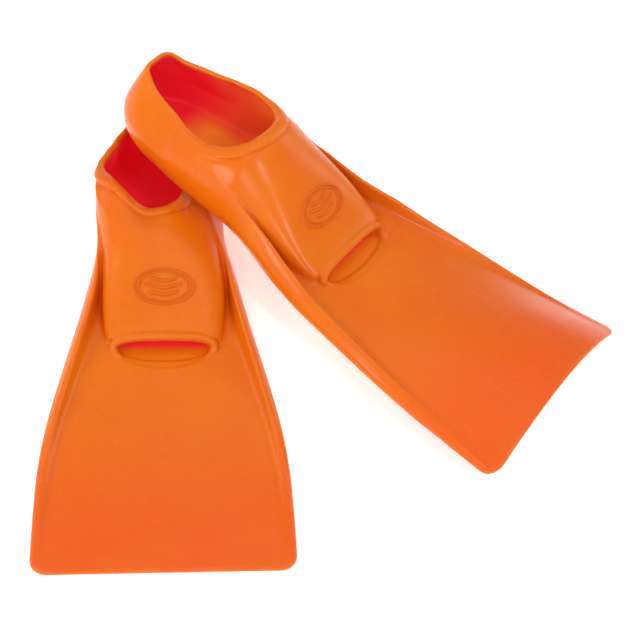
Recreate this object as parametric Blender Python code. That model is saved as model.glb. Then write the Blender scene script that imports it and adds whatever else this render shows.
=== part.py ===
"""A pair of children's full-foot swim fins in one-colour natural rubber, one fin lying across the other.

Each fin is modelled in its own frame: x across, y from the heel to the blade's tip with 0 at the toe lip,
z up from the underside. The fins are then placed in the shared frame, metres and +Z up, in which the first
fin lies along Y with its tip towards -Y and the second rests with its heel on the first one's collar.
"""

import math

import bpy
import numpy as np
from mathutils import Matrix, Vector

MM = 0.001
GAP = 0.3 * MM  # between neighbouring pieces
POCKET_CLEARANCE = 1.0 * MM  # between the rails' roots and the pocket, whose facets differ

# Foot pocket
HEEL_PIVOT_Y = -150 * MM  # the wall's straight sides end here and it turns round the heel
HEEL_REACH = {"sole": 40 * MM, "bulge": 45 * MM, "rim": 34 * MM}  # from the pivot to the back of the heel
HEEL_TAPER = {"sole": 0.10, "bulge": 0.16, "rim": 0.30}  # how fast the half-width falls behind the pivot
HEEL_SQUARENESS = {"sole": 2.4, "bulge": 2.3, "rim": 4.0}  # exponent of the plan curve: 2 is an ellipse
COLLAR_FRONT_Y = -80 * MM
COLLAR_SPLIT_Y = -81.5 * MM  # where the side walls hand over to the vamp
COLLAR_HEEL_HEIGHT = 58 * MM
WALL = 3.2 * MM
FLOOR = 3.4 * MM
COLLAR_BEAD_RADIUS = 2.4 * MM
BEAD_SEAT = 0.9 * MM  # between the wall and the bead, which turns more sharply

# Toe lip and drain
LIP_HALF_WIDTH = 35 * MM
LIP_SIDE_HEIGHT = 8.3 * MM
LIP_CROWN_HEIGHT = 11.2 * MM
LIP_RADIUS = 2.8 * MM
DRAIN_HALF_WIDTH = 29.6 * MM
DRAIN_START_Y = 4.6 * MM
DRAIN_REACH = 15.2 * MM
APRON_HALF_WIDTH = 38.3 * MM
APRON_END_Y = 28 * MM

# Blade
BLADE_HALF_WIDTH = 82.8 * MM
BLADE_FLARE = 0.225  # how fast the half-width grows near the toes
BLADE_KNEE_Y = 84.8 * MM  # where the edges turn parallel
BLADE_KNEE_SOFTNESS = 22 * MM
BLADE_TIP_Y = 175.5 * MM
TIP_CORNER = 12 * MM
BLADE_ROOT_THICKNESS = 5.4 * MM
BLADE_TIP_THICKNESS = 3.0 * MM
FLEX_END_Y = 64 * MM
FLEX_AXIS = (0.0, 46 * MM, 2.6 * MM)  # the line across the blade's root about which the blade bends
RAIL_START_Y = -77 * MM
WEB_OPENS_Y = -40 * MM  # ahead of here the rails stand clear of the pocket's side

# Badge on the vamp
BADGE_HALF = (20 * MM, 12 * MM)
BADGE_WALK = 33 * MM  # from the toe lip to the badge's middle, measured along y
BADGE_BAND = 2.0 * MM
BADGE_RAISE = 0.7 * MM

# How the two soft fins lie
COLLAR_LEAN = 13 * MM  # the lower fin's collar is pushed aside
COLLAR_PRESS = 8 * MM  # and down
HEEL_PRESS = 6 * MM  # and further down right under the upper fin
BLADE_ARCH = 30 * MM  # the upper fin's tip is bowed up between its corners
BLADE_TWIST = 8.5 * MM
BLADE_SAG = 4.5 * MM
UPPER_FIN_TURN = 50.4  # degrees between the two fins in plan
UPPER_FIN_PITCH = 7.6  # degrees, heel up
UPPER_FIN_ROLL = 2.4  # degrees
UPPER_FIN_PLACE = (128.2 * MM, 57.0 * MM, 30.0 * MM)  # its toe lip, from the lower fin's toe lip


# ---------------------------------------------------------------- lengthwise curves


def smoothstep(t):
    t = np.clip(t, 0.0, 1.0)
    return t * t * (3 - 2 * t)


def curve(*stations):
    """A smooth curve through (y, value) stations given in millimetres, without overshoot."""
    at, value = np.array(stations, float).T * MM
    slope = np.diff(value) / np.diff(at)
    tangent = np.zeros(len(at))
    same = slope[1:] * slope[:-1] > 0
    inner = np.zeros(len(at) - 2)
    inner[same] = 2 * slope[1:][same] * slope[:-1][same] / (slope[1:] + slope[:-1])[same]
    tangent[1:-1] = inner
    tangent[0], tangent[-1] = slope[0], slope[-1]

    def read(y):
        y = np.clip(y, at[0], at[-1])
        i = np.clip(np.searchsorted(at, y) - 1, 0, len(at) - 2)
        h = at[i + 1] - at[i]
        t = (y - at[i]) / h
        return (
            value[i] * (1 + 2 * t) * (1 - t) ** 2
            + value[i + 1] * t * t * (3 - 2 * t)
            + h * tangent[i] * t * (1 - t) ** 2
            - h * tangent[i + 1] * t * t * (1 - t)
        )

    return read


# Foot pocket, outer surface: half-width of the underside, half-width and height of the fullest part.
sole_half = curve((-150, 28), (-115, 33), (-80, 37), (-50, 38), (-25, 37.5), (0, 34))
bulge_half = curve((-150, 38.5), (-120, 43), (-85, 43.4), (-60, 43), (-34, 42.4), (-12, 40.5), (0, 38))
bulge_height = curve((-150, 22), (-85, 22), (-60, 16), (-34, 9), (0, 6))
crown_height = curve((-84, 65), (-77, 62), (-60, 51), (-40, 38), (-20, 24.5), (-8, 16.6), (0, 13))
# Collar: half-width and height of the rim along the straight sides.
rim_half = curve((-150, 22.5), (-132, 28.5), (-115, 31.5), (-100, 29), (-90, 21), (-85, 11.5), (-81, 4))
rim_height = curve((-150, 48.5), (-130, 47.5), (-112, 49.5), (-98, 54.5), (-85, 61.5), (-81, 63.5))
# Rails: height of the ridge, its distance in from the widest edge, and the width of its inner face.
ridge_height = curve((-100, 37), (-62, 32), (-43, 26.5), (-22, 20), (23, 13.5), (60, 11), (100, 8), (176, 3.4))
ridge_inset = curve((-100, 3), (-60, 7), (-22, 9.5), (23, 8), (100, 6), (176, 4.5))
ridge_face = curve((-100, 1), (-60, 2), (-22, 3), (23, 4.3), (60, 4), (176, 1.5))
edge_height = curve((-100, 16), (-54, 12), (0, 6), (100, 3), (176, 1.6))
foot_edge_tuck = curve((-100, 9), (-80, 7.5), (-54, 5.5), (-22, 1.6), (0, 1), (176, 0.6))
# Web between the pocket and the rails, rising to meet the pocket's side.
web_height = curve((-100, 35), (-85, 30), (-65, 20), (-45, 11), (-25, 6.4), (0, 5.4), (176, 5.4))


def blade_half(y):
    """Half-width of the fin's widest edge: straight flaring sides that turn parallel past the knee."""
    grow = BLADE_KNEE_SOFTNESS * np.log1p(np.exp((BLADE_KNEE_Y - y) / BLADE_KNEE_SOFTNESS))
    return BLADE_HALF_WIDTH - BLADE_FLARE * grow


def blade_thickness(y):
    t = (y - APRON_END_Y) / (BLADE_TIP_Y - APRON_END_Y)
    return BLADE_ROOT_THICKNESS + (BLADE_TIP_THICKNESS - BLADE_ROOT_THICKNESS) * np.clip(t, 0, 1)


def crown_exponent(y):
    """Squareness of the vamp's arch: round at the collar, flat-topped at the toes."""
    return 1.9 + 0.9 * smoothstep((y + 84 * MM) / (70 * MM))


def pocket_side(y, z):
    """Half-width of the pocket's outside at a height."""
    middle, wide, exponent = bulge_height(y), bulge_half(y), crown_exponent(y)
    low = sole_half(y) + (wide - sole_half(y)) * np.sqrt(np.clip(1 - (1 - z / middle) ** 2, 0, 1))
    rise = np.clip((z - middle) / (crown_height(y) - middle), 0, 1)
    return np.where(z < middle, low, wide * (1 - rise**exponent) ** (1 / exponent))


# ---------------------------------------------------------------- how each fin lies


def lie_flat(points):
    """The lower fin: its collar leans aside and is pressed down where the other fin lies on it."""
    x, y, z = points.T
    collar = smoothstep((-30 * MM - y) / (60 * MM))
    heel = smoothstep((-150 * MM - y) / (45 * MM))
    lean = COLLAR_LEAN * collar * (1 - heel) * np.minimum(z / (50 * MM), 1) ** 2
    under = smoothstep((30 * MM - x) / (60 * MM))
    pressed = COLLAR_PRESS * collar * (0.35 + 0.65 * under)
    pressed += HEEL_PRESS * np.maximum(under * smoothstep((-70 * MM - y) / (50 * MM)), heel)
    press = pressed * (z / (60 * MM)) ** 2
    return np.stack([x + lean, y, z - press], axis=1)


def lie_across(points):
    """The upper fin: its blade twists a little and arches up between its tip corners."""
    x, y, z = points.T
    across = x / BLADE_HALF_WIDTH
    along = np.clip(y / BLADE_TIP_Y, 0, 1)
    twist = (BLADE_TWIST * across - BLADE_SAG * across**2) * np.sin(math.pi * along)
    arch = BLADE_ARCH * smoothstep(along) * (1 - across**2)
    return np.stack([x, y, z + twist + arch], axis=1)


def upper_fin_turn():
    """Turns the upper fin's frame: x across to the near side, y along the fin, z up from its underside."""
    heading = Matrix.Rotation(math.radians(UPPER_FIN_TURN - 180), 3, "Z")
    pitch = Matrix.Rotation(math.radians(-UPPER_FIN_PITCH), 3, "X")
    roll = Matrix.Rotation(math.radians(-UPPER_FIN_ROLL), 3, "Y")
    return heading @ pitch @ roll


# ---------------------------------------------------------------- mesh builders


def rubber(name, shade):
    """Glossy orange natural rubber; each piece gets a slightly different shade of it."""
    material = bpy.data.materials.new(name)
    material.use_nodes = True
    shader = material.node_tree.nodes["Principled BSDF"]
    shader.inputs["Base Color"].default_value = (0.86 * shade, 0.17 * shade, 0.016, 1.0)
    shader.inputs["Roughness"].default_value = 0.38
    shader.inputs["Metallic"].default_value = 0.0
    return material


def empty(name, parent=None):
    obj = bpy.data.objects.new(name, None)
    obj.parent = parent
    bpy.context.scene.collection.objects.link(obj)
    return obj


class Fin:
    """Collects one fin's pieces under its empties, each bent by the way that the fin lies."""

    def __init__(self, tag, root, lie, shade):
        self.tag, self.root, self.lie, self.shade = tag, root, lie, shade
        self.flex_axis = empty(f"flex_axis_{tag}", root)
        self.flex_axis.location = lie(np.array([FLEX_AXIS]))[0]
        self.count = 0

    def add(self, name, points, faces, bends=False):
        """Adds a piece; one that bends with the blade hangs from the empty on the flex axis."""
        parent = self.flex_axis if bends else self.root
        at = np.array(self.flex_axis.location) if bends else np.zeros(3)
        mesh = bpy.data.meshes.new(f"{name}_{self.tag}")
        mesh.from_pydata([Vector(p) for p in self.lie(np.asarray(points, float)) - at], [], faces)
        mesh.update()
        mesh.calc_loop_triangles()
        corners = np.array([[mesh.vertices[i].co for i in t.vertices] for t in mesh.loop_triangles])
        if np.einsum("ij,ij->i", corners[:, 0], np.cross(corners[:, 1], corners[:, 2])).sum() < 0:
            mesh.flip_normals()
        mesh.shade_smooth()
        mesh.set_sharp_from_angle(angle=math.radians(40))
        obj = bpy.data.objects.new(f"{name}_{self.tag}", mesh)
        tint = self.shade * (1.0 - 0.02 * (self.count % 4))
        mesh.materials.append(rubber(f"{name}_{self.tag}", tint))
        obj.parent = parent
        bpy.context.scene.collection.objects.link(obj)
        self.count += 1
        return obj


def sheet(first, second):
    """A closed solid between two grids of points of the same size."""
    rows, columns = first.shape[:2]
    points = np.concatenate([first.reshape(-1, 3), second.reshape(-1, 3)])
    shift = rows * columns
    faces = []
    for i in range(rows - 1):
        for j in range(columns - 1):
            a, b, c, d = (i * columns + j, i * columns + j + 1, (i + 1) * columns + j + 1, (i + 1) * columns + j)
            faces.append((a, b, c, d))
            faces.append((a + shift, d + shift, c + shift, b + shift))
    edge = [j for j in range(columns)]
    edge += [i * columns + columns - 1 for i in range(1, rows)]
    edge += [(rows - 1) * columns + j for j in range(columns - 2, -1, -1)]
    edge += [i * columns for i in range(rows - 2, 0, -1)]
    for a, b in zip(edge, edge[1:] + edge[:1]):
        faces.append((a, a + shift, b + shift, b))
    return points, faces


def loft(rings, loop=False):
    """A closed solid through rings of points: capped at both ends, or joined into a loop."""
    rings = np.asarray(rings)
    count, size = rings.shape[:2]
    faces = []
    for i in range(count if loop else count - 1):
        after = (i + 1) % count
        for j in range(size):
            k = (j + 1) % size
            faces.append((i * size + j, i * size + k, after * size + k, after * size + j))
    if not loop:
        faces.append(tuple(reversed(range(size))))
        faces.append(tuple(range((count - 1) * size, count * size)))
    return rings.reshape(-1, 3), faces


def tube(path, radius, sides=8, loop=False, up=(0, 0, 1)):
    """A round bead along a path of points."""
    path = np.asarray(path)
    ahead = np.roll(path, -1, axis=0) - np.roll(path, 1, axis=0)
    if not loop:
        ahead[0], ahead[-1] = path[1] - path[0], path[-1] - path[-2]
    ahead /= np.linalg.norm(ahead, axis=1)[:, None]
    side = np.cross(ahead, np.array(up, float))
    side /= np.linalg.norm(side, axis=1)[:, None]
    over = np.cross(side, ahead)
    turns = np.arange(sides) * 2 * math.pi / sides
    rings = [
        path[i] + radius * (np.cos(turns)[:, None] * side[i] + np.sin(turns)[:, None] * over[i])
        for i in range(len(path))
    ]
    return loft(rings, loop)


def inside_of(grid, depth):
    """The grid of points moved inwards by depth, along its own normals."""
    along = np.gradient(grid, axis=0)
    up = np.gradient(grid, axis=1)
    normal = np.cross(along, up)
    normal /= np.linalg.norm(normal, axis=2)[..., None]
    middle = grid.shape[0] // 2
    outward = np.sign(np.sum(normal[middle, 1] * (grid[middle, 1] - grid.reshape(-1, 3).mean(axis=0))))
    return grid - depth * outward * normal


# ---------------------------------------------------------------- foot pocket


def heel_plan(kind, half, t):
    """Plan point (x, y) round the heel, from the side (t = 0) to the back (t = 1)."""
    power = 2 / HEEL_SQUARENESS[kind]
    back = HEEL_REACH[kind] * math.sin(t * math.pi / 2) ** power
    across = (half - HEEL_TAPER[kind] * back) * max(math.cos(t * math.pi / 2), 0.0) ** power
    return np.array([across, HEEL_PIVOT_Y - back])


def wall_stations():
    """Plan points of sole, bulge and rim, and the rim's height, from the collar's front round the heel."""
    half = []
    for y in np.linspace(COLLAR_SPLIT_Y, HEEL_PIVOT_Y, 9):
        plan = [np.array([width(y), y]) for width in (sole_half, bulge_half, rim_half)]
        half.append((plan, rim_height(y)))
    widths = [width(HEEL_PIVOT_Y) for width in (sole_half, bulge_half, rim_half)]
    for t in np.linspace(0, 1, 10)[1:]:
        plan = [heel_plan(kind, width, t) for kind, width in zip(("sole", "bulge", "rim"), widths)]
        rise = (COLLAR_HEEL_HEIGHT - rim_height(HEEL_PIVOT_Y)) * smoothstep(t / 0.6)
        half.append((plan, rim_height(HEEL_PIVOT_Y) + rise))
    mirror = [([p * (-1, 1) for p in plan], top) for plan, top in half[-2::-1]]
    return half + mirror


def wall_line(plan, top):
    """Points up the outside of the wall: out from the sole to the bulge, then in to the rim."""
    sole, bulge, rim = plan
    middle = bulge_height(bulge[1])
    line = [(*sole, 0.0)]
    for t in np.linspace(0.12, 1, 4) * math.pi / 2:
        line.append((*(sole + (bulge - sole) * math.sin(t)), middle * (1 - math.cos(t))))
    for t in np.linspace(0, 1, 7)[1:]:
        line.append((*(bulge + (rim - bulge) * t**1.8), middle + (top - middle) * t))
    return line


def pocket_wall(fin):
    """The wall round the heel and along both sides, up to the collar."""
    seat = COLLAR_BEAD_RADIUS + BEAD_SEAT
    outer = np.array([wall_line(plan, top - seat) for plan, top in wall_stations()])
    inner = inside_of(outer, WALL)
    inner[:, 0, 2] = 0.0
    inner[:, 1:, 2] = np.maximum(inner[:, 1:, 2], 0.3 * MM)
    return fin.add("pocket_wall", *sheet(outer, inner))


def collar_bead(fin):
    """The rolled rim round the foot opening."""
    path = [(*plan[2], top) for plan, top in wall_stations()]
    path = path[1:-1] + [(0.0, COLLAR_FRONT_Y - COLLAR_BEAD_RADIUS - 2 * GAP, crown_height(COLLAR_FRONT_Y))]
    return fin.add("collar_bead", *tube(path, COLLAR_BEAD_RADIUS, loop=True))


def vamp(fin):
    """The arched cover over the toes and instep, from the collar to the toe lip."""
    outer = []
    start = COLLAR_FRONT_Y + 0.6 * MM
    end = -LIP_RADIUS - 1.1 * MM
    for y in np.linspace(start, end, 12):
        power, wide, middle, foot = 2 / crown_exponent(y), bulge_half(y), bulge_height(y), sole_half(y)
        half = [(foot, y, 0.0)]
        for t in np.linspace(0.15, 1, 3) * math.pi / 2:
            half.append((foot + (wide - foot) * math.sin(t), y, middle * (1 - math.cos(t))))
        for t in np.linspace(0, 1, 9)[1:-1] * math.pi / 2:
            rise = (crown_height(y) - middle) * math.sin(t) ** power
            half.append((wide * math.cos(t) ** power, y, middle + rise))
        top = [(0.0, y, crown_height(y))]
        outer.append(half + top + [(-x, at, z) for x, at, z in half[::-1]])
    outer = np.array(outer)
    inner = inside_of(outer, WALL)
    inner[:, (0, -1), 2] = 0.0
    return fin.add("vamp", *sheet(outer, inner))


def toe_lip(fin):
    """The rolled lip over the drain opening."""
    t = np.linspace(0, math.pi, 15)
    x = LIP_HALF_WIDTH * np.sign(np.cos(t)) * np.abs(np.cos(t)) ** 0.75
    z = LIP_SIDE_HEIGHT + (LIP_CROWN_HEIGHT - LIP_SIDE_HEIGHT) * np.sin(t) ** 0.75
    y = np.full(len(t), -0.4 * MM)
    return fin.add("toe_lip", *tube(np.stack([x, y, z], axis=1), LIP_RADIUS, up=(0, 1, 0)))


def foot_bed(fin):
    """The floor of the pocket, which runs out under the lip as the drain's shallow tongue."""
    rows = []
    inset = WALL + 2 * GAP
    for t in np.linspace(0.96, 0.1, 8):
        x, y = heel_plan("sole", sole_half(HEEL_PIVOT_Y), t)
        rows.append((x - inset * math.cos(t * math.pi / 2), y + inset * math.sin(t * math.pi / 2)))
    for y in np.linspace(HEEL_PIVOT_Y, DRAIN_START_Y - 8 * MM, 10):
        rows.append((sole_half(y) - inset, y))
    half = DRAIN_HALF_WIDTH - GAP
    for t in np.radians(np.linspace(0, 84, 8)):
        rows.append((half * math.cos(t), DRAIN_START_Y + (DRAIN_REACH - GAP) * math.sin(t)))
    across = np.linspace(-1, 1, 7)
    top = np.array([[(w * a, y, FLOOR) for a in across] for w, y in rows])
    return fin.add("foot_bed", *sheet(top, top * (1, 1, 0)))


# ---------------------------------------------------------------- blade


def apron(fin):
    """The blade's root in front of the toes, with the drain's half-oval cut out of it."""
    back, front = LIP_RADIUS + 0.3 * MM, APRON_END_Y
    inner = [(DRAIN_HALF_WIDTH, back)]
    inner += [
        (DRAIN_HALF_WIDTH * math.cos(t), DRAIN_START_Y + DRAIN_REACH * math.sin(t))
        for t in np.radians(np.linspace(0, 180, 17))
    ]
    inner.append((-DRAIN_HALF_WIDTH, back))
    w = APRON_HALF_WIDTH
    outer = [(w, back), (w, back + 3 * MM), (w, back + 9 * MM), (w, back + 16 * MM), (w, front)]
    outer += [(x * w, front) for x in np.linspace(0.84, -0.84, 9)]
    outer += [(-x, y) for x, y in outer[4::-1]]
    grid = np.array([inner, outer])
    top = np.dstack([grid, np.full(grid.shape[:2], BLADE_ROOT_THICKNESS)])
    return fin.add("apron", *sheet(top, top * (1, 1, 0)))


def rail_profile(y, web):
    """(half-width, height) points over a rail, from its inner foot to the underside."""
    wide = np.maximum(blade_half(y), bulge_half(y) + 1.2 * MM) if y < WEB_OPENS_Y else blade_half(y)
    ridge, inset, face = ridge_height(y), ridge_inset(y), ridge_face(y)
    tuck = foot_edge_tuck(y)
    edge = min(edge_height(y), 0.6 * ridge)
    top = wide - inset
    return [
        (top - face, web),
        (top - 0.9 * MM, ridge - 0.9 * MM),
        (top, ridge),
        (top + 1.2 * MM, ridge - 0.5 * MM),
        (wide - 0.35 * inset, edge + 0.55 * (ridge - edge)),
        (wide, edge),
        (wide - tuck, 0.0),
    ]


def rail_root(fin, side, name):
    """The root of a rail on the foot pocket's side, with the web that joins it to the pocket."""
    rings = []
    for y in np.linspace(RAIL_START_Y, APRON_END_Y, 14):
        web = min(web_height(y), ridge_height(y) - 1.5 * MM)
        heights = np.linspace(0, web, 7)
        inside = pocket_side(min(y, 0.0), heights) + POCKET_CLEARANCE
        if y > WEB_OPENS_Y:
            inside = np.maximum(inside, APRON_HALF_WIDTH + GAP)
        profile = []
        for i, (x, z) in enumerate(rail_profile(y, web)):
            clear = pocket_side(min(y, 0.0), z) + POCKET_CLEARANCE + 0.5 * MM
            profile.append((max(x, clear + (0.4 * MM if i in (2, 3) else 0)), z))
        profile[0] = (max(profile[0][0], inside[-1] + 0.5 * MM), web)
        section = list(zip(inside, heights)) + profile
        rings.append([(side * x, y, z) for x, z in section])
    return fin.add(name, *loft(rings))


def flex_zone(fin):
    """The strip across the blade's root, rails and all, in which the blade bends."""
    rings = []
    for y in np.linspace(APRON_END_Y + GAP, FLEX_END_Y, 6):
        right = rail_profile(y, blade_thickness(y))
        left = [(-x, z) for x, z in right[::-1]]
        rings.append([(x, y, z) for x, z in left + [(0.0, blade_thickness(y))] + right + [(0.0, 0.0)]])
    return fin.add("flex_zone", *loft(rings))


def blade(fin):
    """The flat blade between the rails, full width at its rounded tip."""
    corner_y = BLADE_TIP_Y - TIP_CORNER
    rows = []
    for y in np.linspace(FLEX_END_Y + GAP, corner_y - GAP, 9):
        rows.append((rail_profile(y, 0)[0][0] - GAP, y))
    rows.append((blade_half(corner_y), corner_y))
    for t in np.radians((15, 30, 45, 60, 75, 90)):
        rows.append((blade_half(corner_y) - TIP_CORNER * (1 - math.cos(t)), corner_y + TIP_CORNER * math.sin(t)))
    across = np.linspace(-1, 1, 13)
    top = np.array([[(w * a, y, blade_thickness(y)) for a in across] for w, y in rows])
    return fin.add("blade", *sheet(top, top * (1, 1, 0)), bends=True)


def rail(fin, side, name):
    """A rail along the blade's edge, tapering to the tip."""
    rings = []
    for y in np.linspace(FLEX_END_Y + GAP, BLADE_TIP_Y - TIP_CORNER - 2 * GAP, 10):
        profile = rail_profile(y, blade_thickness(y))
        section = [(profile[0][0], 0.0)] + profile
        rings.append([(side * x, y, z) for x, z in section])
    return fin.add(name, *loft(rings), bends=True)


def badge(fin):
    """A plain raised oval ring on the vamp, in place of any mark."""
    outer, inner = [], []
    turns = np.arange(33) * 2 * math.pi / 32
    for shrink in (0.0, BADGE_BAND):
        for grid, lift in ((outer, GAP + BADGE_RAISE), (inner, GAP)):
            ring = []
            for t in turns[:-1]:
                x = (BADGE_HALF[0] - shrink) * math.cos(t)
                y = -BADGE_WALK + (BADGE_HALF[1] - shrink) * math.sin(t)
                n, middle = crown_exponent(y), bulge_height(y)
                rise = (1 - (abs(x) / bulge_half(y)) ** n) ** (1 / n)
                ring.append((x, y, middle + (crown_height(y) - middle) * rise + lift))
            grid.append(ring)
    rings = [outer[0], outer[1], inner[1], inner[0]]
    return fin.add("badge", *loft(np.transpose(np.array(rings), (1, 0, 2)), loop=True))


def build_fin(tag, root, lie, shade):
    fin = Fin(tag, root, lie, shade)
    foot_bed(fin)
    pocket_wall(fin)
    collar_bead(fin)
    vamp(fin)
    toe_lip(fin)
    apron(fin)
    badge(fin)
    flex_zone(fin)
    blade(fin)
    for side, word in ((1, "left"), (-1, "right")):
        rail_root(fin, side, f"rail_root_{word}")
        rail(fin, side, f"rail_{word}")


def centre_on_base(root):
    """Moves the pair so that the middle of its box, at the surface it lies on, is the origin."""
    bpy.context.view_layer.update()
    points = np.array(
        [obj.matrix_world @ v.co for obj in bpy.data.objects if obj.type == "MESH" for v in obj.data.vertices]
    )
    low, high = points.min(axis=0), points.max(axis=0)
    root.location = (-(low[0] + high[0]) / 2, -(low[1] + high[1]) / 2, -low[2])


def main():
    for obj in list(bpy.data.objects):
        bpy.data.objects.remove(obj, do_unlink=True)
    pair = empty("fin_pair")
    lower = empty("lower_fin", pair)
    lower.rotation_euler = (0, 0, math.pi)
    upper = empty("upper_fin", pair)
    upper.matrix_basis = Matrix.Translation(UPPER_FIN_PLACE) @ upper_fin_turn().to_4x4()
    build_fin("a", lower, lie_flat, 1.0)
    build_fin("b", upper, lie_across, 0.97)
    centre_on_base(pair)


main()
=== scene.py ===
"""The looks of a pair of children's full-foot swim fins in one-colour moulded rubber.

Each fin is one continuous moulding. Its surface is described once, as a distance field in the fin's own
frame (millimetres: x across, y from heel to tip with 0 at the toe lip, z up from the underside), drawn out
as a fine mesh, and then laid in the shared frame the way the two soft fins lie in it.
"""

import math

import bpy
import numpy as np
from mathutils import Matrix, Vector


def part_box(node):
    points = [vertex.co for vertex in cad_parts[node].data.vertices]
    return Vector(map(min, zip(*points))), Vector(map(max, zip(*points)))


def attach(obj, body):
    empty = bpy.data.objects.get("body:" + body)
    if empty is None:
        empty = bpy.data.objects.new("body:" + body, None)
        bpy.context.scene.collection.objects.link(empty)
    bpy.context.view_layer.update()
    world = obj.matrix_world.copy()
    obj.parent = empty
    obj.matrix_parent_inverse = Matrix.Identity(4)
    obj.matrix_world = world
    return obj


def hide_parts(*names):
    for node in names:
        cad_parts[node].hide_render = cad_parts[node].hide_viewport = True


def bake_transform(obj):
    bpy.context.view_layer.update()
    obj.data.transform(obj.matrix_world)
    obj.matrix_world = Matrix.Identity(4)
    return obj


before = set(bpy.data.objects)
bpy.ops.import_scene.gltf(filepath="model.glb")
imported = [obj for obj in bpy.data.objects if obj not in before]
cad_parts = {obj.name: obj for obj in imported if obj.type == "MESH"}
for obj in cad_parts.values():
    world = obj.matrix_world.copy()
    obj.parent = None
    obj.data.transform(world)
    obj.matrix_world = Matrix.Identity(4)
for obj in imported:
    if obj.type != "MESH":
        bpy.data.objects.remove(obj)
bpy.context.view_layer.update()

MM = 0.001

# Resolution of the moulding's surface and of the emblem's, and the half of the moulding that is sampled
STEP = 1.35
RELAX_ROUNDS = 5
EMBLEM_STEP = 0.36
REGION_LOW, REGION_HIGH = (0, -199, -3 * STEP), (86, 179, 72)

# Foot pocket: the heel's round end behind the pivot reaches back this far at the sole, the bulge and the rim
HEEL_PIVOT = -150.0
REACH_SOLE, REACH_BULGE, REACH_RIM = 40.0, 46.0, 34.5
RIM_HALF = 22.5
HEEL_BLEND = 16.0
COLLAR_BLEND_START, COLLAR_BLEND = -92.0, 20.0
WALL = 3.2
FOOT_BED = 3.4
WALL_AT_HEEL_RIM, WALL_AT_FRONT_RIM = 2.8, 4.0
# Beyond these the foot pocket's field isn't needed
POCKET_SIDE, POCKET_FRONT = 56, 24
# The rim's raised band, with the groove under it, and where the foot opening ends
BAND_WIDTH = 4.3
BAND_HEIGHT = 1.3
BAND_GROOVE = 0.8
RIM_BACK, RIM_FRONT = -190.0, -80.5
OPENING_END = -62.0

# Toe lip and drain
# The lip's middle line from the fin's middle to its end: x, y, z and radius
LIP_PATH = (
    (0, -1.2, 12.6, 3.1), (12, -1.2, 12.4, 3.1), (21, -1.0, 11.8, 3.1), (27.5, -0.5, 10.6, 3.0),
    (31.8, 0.4, 8.9, 3.0), (34.3, 2.0, 7.0, 2.8), (34.2, 4.6, 5.4, 2.4), (32.3, 7.4, 4.4, 2.0),
    (29.3, 10.2, 3.7, 1.6),
)
DRAIN_HALF_WIDTH = 30.4
DRAIN_START = 5.5
DRAIN_REACH = 15.3
APRON_END = 28.0

# Blade
BLADE_HALF_WIDTH = 83.4
BLADE_FLARE = 0.237
BLADE_KNEE = 84.8
BLADE_KNEE_SOFTNESS = 22.0
BLADE_TIP = 175.5
TIP_START = 120
TIP_CORNER = 12.0
BLADE_ROOT_THICKNESS = 5.4
BLADE_TIP_THICKNESS = 3.0
FLEX_START, FLEX_END, FLEX_HEIGHT = 28.0, 64.0, 2.6
RAIL_START = -98.0

# Emblem on the vamp: an oval double ring, given by its size as a part of the emblem's and by how much thinner
# it is, and arcs, given by their place on the emblem and their half-length
EMBLEM_HALF = (21.5, 10.6)
RINGS = ((0.94, 0.0), (0.78, 0.4))
RING_SCALE = 14.0
EMBLEM_MIDDLE = -30.0
EMBLEM_MARGIN = 1.2
EMBLEM_RISE, EMBLEM_SINK, EMBLEM_DEPTH = 1.6, 0.55, 1.5
ARCS = ((-4.3, 8.6), (-0.4, 11.6), (3.5, 9.2))
ARC_SWING, ARC_SPAN = 1.05, 27.0

# How the two soft fins lie
COLLAR_LEAN = 14.5
COLLAR_PRESS = 8.0
HEEL_PRESS = 6.0
COLLAR_NOTCH = 6.5
COLLAR_FOLD = (0.5, -13.5, 6.0)
BLADE_ARCH = 30.0
FAR_RIM_LIFT = 6.0
BLADE_TWIST = 8.5
BLADE_SAG = 4.5
UPPER_FIN_TURN = 50.4
UPPER_FIN_PITCH = 7.6
UPPER_FIN_ROLL = 2.4
UPPER_FIN_PLACE = (128.2, 57.0, 30.0)

# Camera: where it looks, from the lower fin's toe lip, and from which side
CAMERA_TARGET = (108.5, 25.1, 0.0)
CAMERA_AZIMUTH = -8.2
CAMERA_ELEVATION = 50.57
CAMERA_ROLL = 6.05
CAMERA_DISTANCE = 1141.0
CAMERA_LENS = 91.9


# ---------------------------------------------------------------- lengthwise curves


def smoothstep(t):
    t = np.clip(t, 0.0, 1.0)
    return t * t * (3 - 2 * t)


def curve(*stations):
    """A smooth curve through (y, value) stations, without overshoot."""
    at, value = np.array(stations, float).T
    slope = np.diff(value) / np.diff(at)
    tangent = np.zeros(len(at))
    same = slope[1:] * slope[:-1] > 0
    inner = np.zeros(len(at) - 2)
    inner[same] = 2 * slope[1:][same] * slope[:-1][same] / (slope[1:] + slope[:-1])[same]
    tangent[1:-1] = inner
    tangent[0], tangent[-1] = slope[0], slope[-1]

    def read(y):
        y = np.clip(y, at[0], at[-1])
        i = np.clip(np.searchsorted(at, y) - 1, 0, len(at) - 2)
        h = at[i + 1] - at[i]
        t = (y - at[i]) / h
        return (
            value[i] * (1 + 2 * t) * (1 - t) ** 2
            + value[i + 1] * t * t * (3 - 2 * t)
            + h * tangent[i] * t * (1 - t) ** 2
            - h * tangent[i + 1] * t * t * (1 - t)
        )

    return read


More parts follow.
